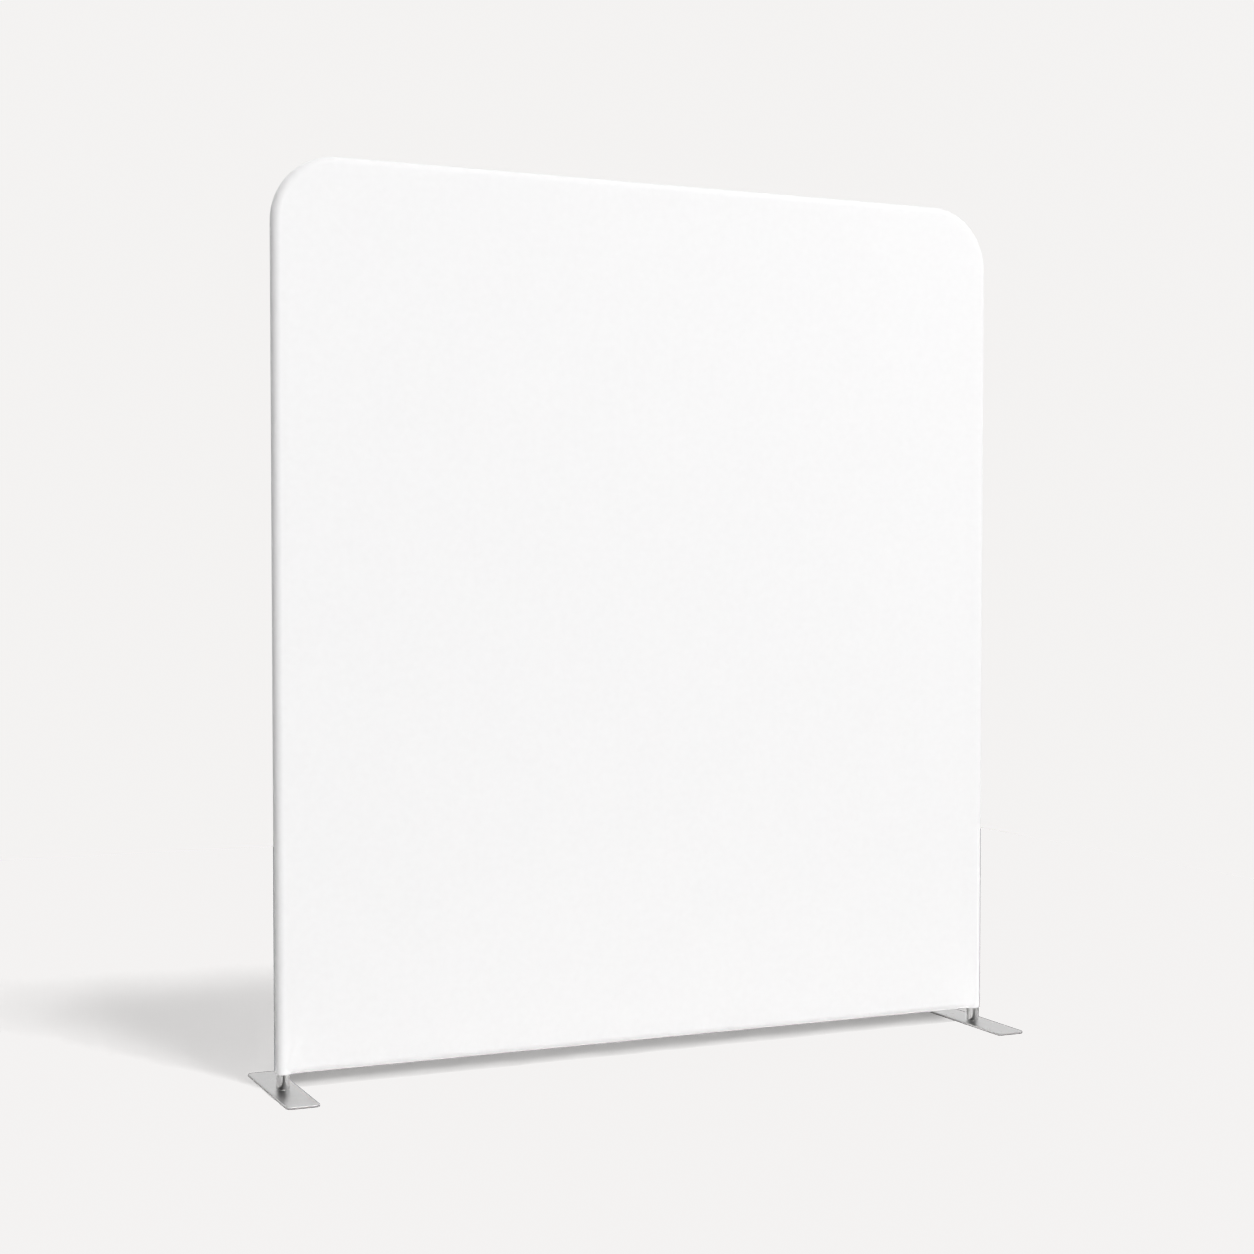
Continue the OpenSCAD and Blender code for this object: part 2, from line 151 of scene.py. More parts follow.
def baked(o, sharp=50):
    """The object's mesh with its modifiers applied, and edges sharper than that many degrees marked."""
    dg = bpy.context.evaluated_depsgraph_get()
    bpy.context.view_layer.update()
    new = bpy.data.meshes.new_from_object(o.evaluated_get(dg), preserve_all_data_layers=True, depsgraph=dg)
    o.modifiers.clear()
    old = o.data
    o.data = new
    bpy.data.meshes.remove(old)
    for p in new.polygons:
        p.use_smooth = True
    new.set_sharp_from_angle(angle=math.radians(sharp))
    return o


def solid(o, thickness, offset=0.0):
    m = o.modifiers.new("thickness", "SOLIDIFY")
    m.thickness, m.offset, m.use_even_offset = thickness, offset, False
    return baked(o)


def wob(x, y=0.0, z=0.0):
    """Smooth repeatable noise from -1 to 1."""
    return noise.noise(Vector((x, y, z)))


# ------------------------------------------------------------------ cover: stations round the frame
def spaced(a, b, n):
    return list(np.linspace(a, b, n))


side_z = sorted(set(
    [round(z, 6) for z in np.arange(ZB, ZB + 0.1601, 0.005)]
    + [round(BACK_Z, 6)]
    + [round(z, 6) for z in np.linspace(ZB + 0.16, ZT - BEND - 0.12, 84)]
    + [round(z, 6) for z in np.linspace(ZT - BEND - 0.12, ZT - BEND, 25)]))
side_z = [z for i, z in enumerate(side_z) if i == 0 or z - side_z[i - 1] > 0.0012]
side_z[0], side_z[-1] = ZB, ZT - BEND
bend_a = spaced(0, math.pi / 2, 97)
bx = XC - BEND
top_x = spaced(-bx, -bx + 0.12, 25) + spaced(-bx + 0.12, bx - 0.12, 76)[1:-1] + spaced(bx - 0.12, bx, 25)

# each station: axis point (x, z), outward direction (x, z), and its place along the edge
stations = []
for z in side_z:
    stations.append(((-XC, z), (-1.0, 0.0), "side"))
for a in bend_a[1:-1]:
    stations.append(((-bx - BEND * math.cos(a), ZT - BEND + BEND * math.sin(a)), (-math.cos(a), math.sin(a)), "bend"))
for x in top_x:
    stations.append(((x, ZT), (0.0, 1.0), "top"))
for a in bend_a[1:-1][::-1]:
    stations.append(((bx + BEND * math.cos(a), ZT - BEND + BEND * math.sin(a)), (math.cos(a), math.sin(a)), "bend"))
for z in side_z[::-1]:
    stations.append(((XC, z), (1.0, 0.0), "side"))
along = [0.0]
for (p, _, _), (q, _, _) in zip(stations, stations[1:]):
    along.append(along[-1] + math.hypot(q[0] - p[0], q[1] - p[1]))
S_SIDE = ZT - BEND - ZB
S_BEND = math.pi / 2 * BEND
S_TOP = 2 * bx
bends = [(S_SIDE, S_SIDE + S_BEND), (S_SIDE + S_BEND + S_TOP, S_SIDE + 2 * S_BEND + S_TOP)]


def bend_share(s):
    """How far into a rounded corner a place along the edge is: 1 inside it, fading out past its ends."""
    best = 0.0
    for a, b in bends:
        out = max(a - s, s - b, 0.0)
        best = max(best, math.exp(-(out / 0.035) ** 2))
    return best


def pucker(s, d, f):
    """Small gathers of the cloth round the rounded corners. d is the distance from the seam over the cloth."""
    share = bend_share(s)
    if share < 0.01:
        return 0.0
    fade = math.exp(-((max(d - 0.012, 0.0)) / 0.030) ** 1.3) * min(1.0, 0.35 + d / 0.010)
    w = 0.62 * math.cos(2 * math.pi * s / 0.0310 + 2.3 * wob(s * 9, 3.1, f)) + 0.38 * math.cos(2 * math.pi * s / 0.0173 + 3.0 * wob(s * 14, 7.7, f))
    ends = 0.0
    for a, b in bends:
        for e in (a, b):
            ends += math.exp(-((s - e) / 0.010) ** 2)
    return 0.00022 * share * fade * (w + 0.3) - 0.00030 * fade * ends


def seam_dip(d):
    """The cloth turns in to the seam."""
    return 0.00055 * math.exp(-(d / 0.0011) ** 2)


def corner_folds(x, z, f):
    """Soft tension folds that fan out of the bottom corners, where the cuff pulls on the cloth."""
    out = 0.0
    for sx in (-1, 1):
        dx, dz = XC - 0.004 - sx * x, z - (ZB - 0.014)
        rho = math.hypot(dx, dz)
        if rho > 0.5 or dz < 0 or dx < -0.02:
            continue
        a = math.atan2(dz, max(dx, 1e-5))
        w = math.exp(-((rho - 0.055) / 0.085) ** 2) * min(1.0, rho / 0.03)
        k = 9.0 if f < 0 else 8.0
        ridge = math.cos(k * a + 1.1 + 1.5 * wob(a * 2.2, sx * 3.3, f)) + 0.45 * math.cos(2.1 * k * a + 0.7 + wob(rho * 30, sx, f))
        edge = min(1.0, max(dx, 0.0) / 0.03) * min(1.0, dz / 0.035)
        out += 0.00052 * w * ridge * edge
    return out


def relief(x, z, f):
    """Height of the flat cloth over its plane: almost none on a stretched face."""
    broad = 0.00016 * wob(x * 1.7, z * 1.9, 2.0 + f) + 0.00005 * wob(x * 7.0, z * 5.0, 9.0 + f)
    rim = min(1.0, max(0.0, (XC - abs(x)) / 0.05)) * min(1.0, max(0.0, (ZT - z) / 0.05)) * min(1.0, max(0.0, (z - ZB) / 0.05))
    return broad * rim + corner_folds(x, z, f)


arc = [0, 0.0004, 0.0009, 0.0015, 0.0024, 0.0038, 0.0058, 0.0085, 0.0118, 0.0155, 0.0195, 0.0235, 0.0275]
QUARTER = math.pi / 2 * RM
theta = [d / RM for d in arc] + [math.pi / 2]
depth = [0, 0.002, 0.004, 0.006, 0.008, 0.010, 0.012, 0.014, 0.016, 0.0176, 0.0192, XC - ZIP_X, 0.0245, 0.028, 0.032, 0.037, 0.043, 0.051, 0.061,
         0.073, 0.087, 0.104, 0.123, BEND]


def half(f, low_cut):
    """One half of the cover above the bottom rail: the roll round the edge, and the flat face."""
    s = Sheet()
    roll_p, roll_q, face_p, face_q = [], [], [], []
    for (c, n, kind), sa in zip(stations, along):
        row_p, row_q = [], []
        for th in theta:
            d = th * RM
            r = RM - seam_dip(d) + pucker(sa, d, f) + 0.00006 * wob(sa * 5.0, 1.0, f) * math.sin(2 * th)
            row_p.append((c[0] + n[0] * r * math.cos(th), f * r * math.sin(th), c[1] + n[1] * r * math.cos(th)))
            e = QUARTER - d
            row_q.append((c[0] + n[0] * e, c[1] + n[1] * e))
        roll_p.append(row_p)
        roll_q.append(row_q)
        row_p, row_q = [], []
        for k, d in enumerate(depth):
            x, z = c[0] - n[0] * d, c[1] - n[1] * d
            y = RM + pucker(sa, QUARTER + d, f) * max(0.0, 1 - d / BEND) + relief(x, z, f)
            row_p.append((x, f * y, z))
            row_q.append((x, z))
        face_p.append(row_p)
        face_q.append(row_q)
    keep = None
    if low_cut:
        def keep(*ps):
            cx = sum(p[0] for p in ps) / 4
            cz = sum(p[2] for p in ps) / 4
            return abs(cx) > ZIP_X or cz > BACK_Z
    s.grid(roll_p, roll_q, keep, turn=f > 0)
    s.grid(face_p, face_q, keep, turn=f > 0)
    inner_p, inner_q = [], []
    for z in side_z:
        inner_p.append([(x, f * (RM + relief(x, z, f)), z) for x in top_x])
        inner_q.append([(x, z) for x in top_x])
    s.grid(inner_p, inner_q, keep, turn=f < 0)
    return s


# ------------------------------------------------------------------ cover: the bottom, round the rail and the posts
POWER = 8.0


def section_r(phi, dx):
    """Distance from the rail's axis to the cloth: round the rail, squarer where the upright's end stands in it."""
    c, s = abs(math.cos(phi)), abs(math.sin(phi))

    def box_r(d):
        if abs(d) >= RM:
            return 0.0
        yv = math.sqrt(RM * RM - d * d)
        return ((c / yv) ** POWER + (s / RM) ** POWER) ** (-1 / POWER)

    total = weight = 0.0
    for k in range(-4, 5):
        d = dx + k * 0.0011
        w = math.exp(-(k / 2.4) ** 2)
        total += w * max(RM, box_r(d))
        weight += w
    return total / weight


def section(dx, n):
    """n points (y, z) of the cloth's front half at that distance from a post, from the face down to the post's hole or the bottom line."""
    def at(phi):
        r = section_r(phi, dx)
        return -r * math.cos(phi), ZB - r * math.sin(phi)
    end = math.pi / 2
    if dx < HOLE_R:
        want = math.sqrt(HOLE_R ** 2 - dx ** 2)
        a, b = 0.2, math.pi / 2
        for _ in range(50):
            m = (a + b) / 2
            if -at(m)[0] > want:
                a = m
            else:
                b = m
        end = (a + b) / 2
    fine = [at(end * k / 240) for k in range(241)]
    run = [0.0]
    for p, q in zip(fine, fine[1:]):
        run.append(run[-1] + math.hypot(q[0] - p[0], q[1] - p[1]))
    t = np.linspace(0, run[-1], n)
    return list(zip(np.interp(t, run, [p[0] for p in fine]), np.interp(t, run, [p[1] for p in fine]), t))


ROWS = 22
bottom_x = sorted([-(XC - d) for d in depth] + [x for x in top_x if abs(x) < bx - 1e-6] + [XC - d for d in depth])
bottom_x = [x for i, x in enumerate(bottom_x) if i == 0 or x - bottom_x[i - 1] > 1e-5]


def front_cover():
    s = half(-1, False)
    grid_f, flat_f, grid_b, flat_b = [], [], [], []
    flap_p, flap_q = [], []
    for x in bottom_x:
        dx = XC - abs(x)
        sec = section(min(dx, 0.05), ROWS)
        grid_f.append([(x, y, z) for y, z, t in sec])
        flat_f.append([(x, ZB - t) for y, z, t in sec])
        grid_b.append([(x, -y, z) for y, z, t in sec])
        flat_b.append([(x, ZB - 2 * sec[-1][2] + t) for y, z, t in sec])
        if abs(x) <= ZIP_X + 1e-6:
            zs = [ZB, ZB + 0.006, ZB + 0.012, FLAP_Z - 0.0035, FLAP_Z - 0.0012, FLAP_Z]
            flap_p.append([(x, RM + 0.00022 * wob(x * 22, k, 5) * k / 5 - (0.00035 if k == 3 else 0.0), z) for k, z in enumerate(zs)])
            flap_q.append([(x, ZB - 2 * sec[-1][2] - (z - ZB)) for z in zs])
    s.grid(grid_f, flat_f, turn=True)
    s.grid(grid_b, flat_b, turn=False)
    s.grid(flap_p, flap_q, turn=True)
    # outer half of each cuff, turned about the post's axis
    sec = section(0.0, ROWS)
    turn = theta + [math.pi - t for t in theta[::-1][1:]]     # from the seam line to the face ... and round the back
    for sx in (-1, 1):
        gp, gq = [], []
        for th in ([math.pi / 2 - t for t in theta[::-1]] + [math.pi / 2 + t for t in theta[1:]]):
            # th = 0 faces the front, pi / 2 the side, pi the back
            dist = abs(th - math.pi / 2) * RM
            row, rq = [], []
            for k, (y, z, t) in enumerate(sec):
                r = -y - seam_dip(dist) * max(0.0, 1 - t / 0.006)
                row.append((sx * (XC + r * math.sin(th)), -r * math.cos(th), z))
                rq.append((sx * (XC + th * RM), ZB - t))
            gp.append(row)
            gq.append(rq)
        s.grid(gp, gq, turn=sx > 0)
    return s


def fix_normals(me):
    bm = bmesh.new()
    bm.from_mesh(me)
    bmesh.ops.recalc_face_normals(bm, faces=bm.faces)
    # faces look outwards: the largest face part must look away from the wall's middle plane
    total = sum(f.calc_area() * f.normal.y * (1 if f.calc_center_median().y > 0 else -1) for f in bm.faces)
    if total < 0:
        for f in bm.faces:
            f.normal_flip()
    bm.to_mesh(me)
    bm.free()


cover_front = link("cover_front_cloth", front_cover().mesh("cover_front_cloth"))
fix_normals(cover_front.data)
solid(cover_front, THICK)
cover_back = link("cover_back_cloth", half(1, True).mesh("cover_back_cloth"))
fix_normals(cover_back.data)
solid(cover_back, THICK)


# ------------------------------------------------------------------ tubes that follow a line, for hems and stitches
def rope(points, radius, sides=8, closed=False, flat=1.0, across=None):
    """A round or flattened strand along a line of points: vertices and faces."""
    pts = [Vector(p) for p in points]
    n = len(pts)
    vs, fs = [], []
    for i, p in enumerate(pts):
        if closed:
            t = (pts[(i + 1) % n] - pts[i - 1]).normalized()
        else:
            t = (pts[min(i + 1, n - 1)] - pts[max(i - 1, 0)]).normalized()
        up = Vector(across) if across is not None else Vector((0, 0, 1))
        if abs(t.dot(up)) > 0.95:
            up = Vector((0, 1, 0))
        a = t.cross(up).normalized()
        b = a.cross(t).normalized()
        r = radius if not isinstance(radius, (list, tuple)) else radius[i]
        for k in range(sides):
            w = 2 * math.pi * k / sides
            vs.append(p + a * (r * flat * math.cos(w)) + b * (r * math.sin(w)))
    last = n if closed else n - 1
    for i in range(last):
        for k in range(sides):
            i2, k2 = (i + 1) % n, (k + 1) % sides
            fs.append((i * sides + k, i2 * sides + k, i2 * sides + k2, i * sides + k2))
    if not closed:
        fs.append(tuple(range(sides))[::-1])
        fs.append(tuple((n - 1) * sides + k for k in range(sides)))
    return vs, fs


def many(name, parts, sharp=50):
    """One mesh from many (vertices, faces)."""
    vs, fs = [], []
    for v, f in parts:
        base = len(vs)
        vs.extend(v)
        fs.extend(tuple(base + k for k in face) for face in f)
    me = bpy.data.meshes.new(name)
    me.from_pydata([tuple(v) for v in vs], [], fs)
    bm = bmesh.new()
    bm.from_mesh(me)
    bmesh.ops.recalc_face_normals(bm, faces=bm.faces)
    bm.to_mesh(me)
    bm.free()
    for p in me.polygons:
        p.use_smooth = True
    me.set_sharp_from_angle(angle=math.radians(sharp))
    return link(name, me)


# rolled hem round each post's hole
hems = []
for side, sx in (("left", -1), ("right", 1)):
    ring = []
    prof0 = section(0.0, 4)[-1]
    for k in range(96):
        a = 2 * math.pi * k / 96
        dx = -math.cos(a) * HOLE_R          # distance inwards from the post's axis
        y = HOLE_R * math.sin(a)
        if dx >= 0:
            z = section(min(dx, HOLE_R - 1e-7), 4)[-1][1]
        else:
            z = prof0[1]
        ring.append((sx * (XC - dx), y, z + 0.00045))
    hems.append(many("cover_hem_" + side, [rope(ring, 0.00045, 10, closed=True)]))


# ------------------------------------------------------------------ stitches along the zip
def stitch_row(z, y, x0, x1, pitch=0.0034, length=0.0026, r=0.00021):
    out = []
    n = int((x1 - x0) / pitch)
    for k in range(n):
        xm = x0 + (k + 0.5) * (x1 - x0) / n
        h = length / 2
        pts = [(xm - h, y - r * 0.9, z), (xm - h * 0.55, y + r * 0.35, z), (xm + h * 0.55, y + r * 0.35, z + 0.00003), (xm + h, y - r * 0.9, z)]
        out.append(rope(pts, [r * 0.55, r, r, r * 0.55], 6))
    return out


y_face = R_OUT - 0.00003
rows = []
rows += stitch_row(FLAP_Z - 0.0035, y_face - 0.00025, -ZIP_X + 0.004, ZIP_X - 0.004)
rows += stitch_row(BACK_Z + 0.0030, y_face, -ZIP_X + 0.004, ZIP_X - 0.004)
rows += stitch_row(BACK_Z + 0.0075, y_face, -ZIP_X + 0.004, ZIP_X - 0.004)
stitches = many("zip_stitches", rows)


# ------------------------------------------------------------------ zip
def tape(name, node):
    a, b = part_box(node)
    z0, z1 = a.z, b.z
    inner = z1 if "lower" in node else z0            # the edge that carries the coil
    outer = z0 if "lower" in node else z1
    way = 1 if inner > outer else -1
    w = abs(inner - outer)
    prof = []                                        # (distance from the outer edge, half thickness)
    for t, h in ((0.0, 0.00012), (0.0006, 0.00024), (0.004, 0.00024), (0.0078, 0.00024), (0.0085, 0.00029), (0.0092, 0.00024), (w - 0.0035, 0.00024),
                 (w - 0.0026, 0.0003), (w - 0.0010, 0.0003), (w - 0.0001, 0.0002)):
        prof.append((outer + way * t, h))
    xs = np.linspace(a.x, b.x, 320)
    vs, fs = [], []
    m = len(prof)
    for x in xs:
        lift = 0.00007 * wob(x * 40, way * 2.0)
        for z, h in prof:
            vs.append((x, ZY + h + lift, z))
        for z, h in prof[::-1]:
            vs.append((x, ZY - h + lift, z))
    k = 2 * m
    for i in range(len(xs) - 1):
        for j in range(k):
            j2 = (j + 1) % k
            fs.append((i * k + j, (i + 1) * k + j, (i + 1) * k + j2, i * k + j2))
    fs.append(tuple(range(k)))
    fs.append(tuple((len(xs) - 1) * k + j for j in range(k))[::-1])
    o = many(name, [(vs, fs)], 60)
    return o


zip_tapes = [tape("zip_tape_low_woven", "zip_tape_lower"), tape("zip_tape_up_woven", "zip_tape_upper")]


def coil(name, node, sign):
    """A row of coil: one rounded loop after another, each leaning a little."""
    a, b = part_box(node)
    zc, yc = (a.z + b.z) / 2, (a.y + b.y) / 2
    r = (b.z - a.z) / 2
    pitch = 0.00145
    n = int((b.x - a.x) / pitch)
    parts = []
    for k in range(n):
        x = a.x + 0.0008 + (b.x - a.x - 0.0016) * (k + (0.5 if sign > 0 else 0.0)) / n
        ring = []
        for q in range(8):
            t = 2 * math.pi * q / 8 + 0.4
            ring.append((x + 0.00022 * math.sin(t), yc + (r - 0.00042) * math.sin(t), zc + (r - 0.00036) * math.cos(t)))
        parts.append(rope(ring, 0.00034, 5, closed=True, across=(1, 0, 0)))
    return many(name, parts)


coils = [coil("zip_coil_low_loops", "zip_coil_lower", -1), coil("zip_coil_up_loops", "zip_coil_upper", 1)]


def bevelled(name, boxes, width, segments=3, subd=0):
    """Boxes with rounded edges, each (low corner, high corner)."""
    me = bpy.data.meshes.new(name)
    bm = bmesh.new()
    for low, high in boxes:
        c = [(low[i] + high[i]) / 2 for i in range(3)]
        s = [high[i] - low[i] for i in range(3)]
        got = bmesh.ops.create_cube(bm, size=1.0)
        for v in got["verts"]:
            v.co = Vector((c[0] + v.co.x * s[0], c[1] + v.co.y * s[1], c[2] + v.co.z * s[2]))
        edges = list({e for v in got["verts"] for e in v.link_edges})
        bmesh.ops.bevel(bm, geom=edges, offset=min(width, min(s) * 0.45), segments=segments, affect="EDGES", profile=0.5, clamp_overlap=True)
    bm.to_mesh(me)
    bm.free()
    for p in me.polygons:
        p.use_smooth = True
    me.set_sharp_from_angle(angle=math.radians(60))
    return link(name, me)


def outline_plate(points, y0, y1, bevel):
    """A flat part cut to an outline in x and z, between y0 and y1, with rounded rims: vertices and faces."""
    n = len(points)
    cx = sum(p[0] for p in points) / n
    cz = sum(p[1] for p in points) / n
    vs, fs = [], []
    steps = [(y0, bevel), (y0 + bevel * 0.3, bevel * 0.3), (y0 + bevel, 0), (y1 - bevel, 0), (y1 - bevel * 0.3, bevel * 0.3), (y1, bevel)]
    for y, ins in steps:
        for x, z in points:
            d = math.hypot(x - cx, z - cz)
            k = (d - ins) / d
            vs.append((cx + (x - cx) * k, y, cz + (z - cz) * k))
    for i in range(len(steps) - 1):
        for j in range(n):
            j2 = (j + 1) % n
            fs.append((i * n + j, i * n + j2, (i + 1) * n + j2, (i + 1) * n + j))
    fs.append(tuple(range(n)))
    fs.append(tuple((len(steps) - 1) * n + j for j in range(n))[::-1])
    return vs, fs


s_lo, s_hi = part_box("zip_slider")
p_lo, p_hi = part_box("zip_pull")
SX = (s_lo.x + s_hi.x) / 2


def slider_outline(grow=0.0):
    """Shield shape of the slider's plates: wide shoulders at one end, narrower at the other."""
    pts = []
    h = 0.0045 + grow
    for x, w in ((-0.0060, 0.0030), (-0.0055, 0.0041), (-0.0042, 0.0045), (-0.0015, 0.0043), (0.0015, 0.0037), (0.0042, 0.0034), (0.0055, 0.0029), (0.0060, 0.0020)):
        pts.append((x, min(w, h)))
    return [(SX + x, ZZ + w) for x, w in pts] + [(SX + x, ZZ - w) for x, w in pts[::-1]]


outer_y = coil_lo[1].y + 0.0003
inner_y = coil_lo[0].y - 0.0003
parts = [outline_plate(slider_outline(), outer_y, outer_y + 0.001, 0.0003), outline_plate(slider_outline(), inner_y - 0.001, inner_y, 0.0003)]
neck = [(SX - 0.0038, ZZ + 0.00015), (SX + 0.0038, ZZ + 0.00015), (SX + 0.0038, ZZ - 0.00015), (SX - 0.0038, ZZ - 0.00015)]
parts.append(outline_plate(neck, inner_y - 0.0004, outer_y + 0.0004, 0.00003))
arch = [(SX - 0.0039 * math.cos(t), outer_y + 0.0007 + 0.0040 * math.sin(t), ZZ) for t in np.linspace(0.05, math.pi - 0.05, 22)]
arch = [(SX - 0.0040, outer_y + 0.0003, ZZ)] + arch + [(SX + 0.0040, outer_y + 0.0003, ZZ)]
parts.append(rope(arch, 0.00055, 12, across=(0, 0, 1)))
slider = many("zip_slider_body", parts, 45)

PY = (p_lo.y + p_hi.y) / 2
bar = [(SX, PY, ZZ + z) for z in np.linspace(-0.0024, 0.0024, 7)]
loop_c = [(SX, PY, ZZ - 0.0019), (SX + 0.0012, PY, ZZ - 0.0020), (SX + 0.0030, PY, ZZ - 0.0020), (SX + 0.0050, PY, ZZ - 0.0021), (SX + 0.0062, PY, ZZ - 0.0018)]
loop_d = [(x, y, 2 * ZZ - z) for x, y, z in loop_c]
tab = []
x0, x1 = SX + 0.0054, p_hi.x
for t in np.linspace(-math.pi / 2, math.pi / 2, 15):
    tab.append((x1 - 0.0029 + 0.0029 * math.cos(t), ZZ + 0.0029 * math.sin(t)))
tab += [(x0 + 0.0060, ZZ + 0.0025), (x0 + 0.0012, ZZ + 0.0027), (x0, ZZ + 0.0022), (x0, ZZ - 0.0022), (x0 + 0.0012, ZZ - 0.0027), (x0 + 0.0060, ZZ - 0.0025)]
pull = many("zip_pull_tab", [rope(bar, 0.00055, 12, across=(1, 0, 0)), rope(loop_c, 0.00052, 10), rope(loop_d, 0.00052, 10),
                             outline_plate(tab, PY - 0.0005, PY + 0.0005, 0.00025)], 45)

st = []
for sx in (-1, 1):
    xs0 = sx * 0.9522
    for k in (-1, 1):
        st.append(((xs0 - 0.0018, ZY + 0.0008, ZZ - 0.0026), (xs0 + 0.0018, ZY + 0.0016, ZZ + 0.0026)) if k > 0 else
                  ((xs0 - 0.0018, ZY - 0.0016, ZZ - 0.0026), (xs0 + 0.0018, ZY - 0.0008, ZZ + 0.0026)))
    st.append(((xs0 - 0.0018, ZY - 0.0012, ZZ - 0.0026), (xs0 + 0.0018, ZY + 0.0012, ZZ - 0.0019)))
    st.append(((xs0 - 0.0018, ZY - 0.0012, ZZ + 0.0019), (xs0 + 0.0018, ZY + 0.0012, ZZ + 0.0026)))
stops = bevelled("zip_stop_clamps", st, 0.0003)


# ------------------------------------------------------------------ leaf springs, one under each snap button
def leaf_springs():
    """Each spring as a piece of its own, with its press joint's axis, its farthest point along that axis and the share
    of its length that a full press leaves.
    """
    src = NODES["snap_springs"].data
    bm = bmesh.new()
    bm.from_mesh(src)
    bmesh.ops.remove_doubles(bm, verts=bm.verts, dist=1e-6)
    bm.verts.index_update()
    bm.faces.index_update()
    bm.verts.ensure_lookup_table()
    seen, groups = set(), []
    for v in bm.verts:
        if v.index in seen:
            continue
        stack, group = [v], []
        seen.add(v.index)
        while stack:
            w = stack.pop()
            group.append(w)
            for e in w.link_edges:
                u = e.other_vert(w)
                if u.index not in seen:
                    seen.add(u.index)
                    stack.append(u)
        groups.append(group)
    made = []
    for joint in [j for j in frame["joints"] if j["name"].startswith("press_")]:
        body = joint["name"][len("press_"):]
        low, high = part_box(body)
        mid = (low + high) / 2
        group = min(groups, key=lambda g: (sum((w.co for w in g), Vector()) / len(g) - mid).length)
        order = {w.index: k for k, w in enumerate(group)}
        faces = {f for w in group for f in w.link_faces}
        me = bpy.data.meshes.new("leaf_" + body)
        me.from_pydata([tuple(w.co) for w in group], [], [[order[w.index] for w in f.verts] for f in sorted(faces, key=lambda f: f.index)])
        o = link("leaf_" + body, me)
        for p in me.polygons:
            p.use_smooth = True
        me.set_sharp_from_angle(angle=math.radians(35))
        made.append((o, joint, group))
    out = []
    for o, joint, group in made:
        axis = Vector(joint["axis"]).normalized()
        reach = [w.co.dot(axis) for w in group]
        far = group[reach.index(max(reach))].co.copy()
        travel = max(abs(v) for v in joint["range_m"])
        out.append((o, joint["name"], tuple(axis), tuple(far), 1 - travel / (max(reach) - min(reach))))
    bm.free()
    return out


springs = leaf_springs()

# ------------------------------------------------------------------ materials
def new_material(name):
    m = bpy.data.materials.new(name)
    m.use_nodes = True
    nt = m.node_tree
    bsdf = next(n for n in nt.nodes if n.type == "BSDF_PRINCIPLED")
    return m, nt, bsdf


def node(nt, kind, **values):
    n = nt.nodes.new(kind)
    for k, v in values.items():
        if hasattr(n, k):
            setattr(n, k, v)
        else:
            n.inputs[k].default_value = v
    return n


def put(nt, a, out, b, inp):
    nt.links.new(a.outputs[out], b.inputs[inp])


def mix_color(nt, fac_node, fac_out, a, b):
    m = nt.nodes.new("ShaderNodeMix")
    m.data_type = "RGBA"
    m.inputs[6].default_value = (*a, 1)
    m.inputs[7].default_value = (*b, 1)
    nt.links.new(fac_node.outputs[fac_out], m.inputs[0])
    return m


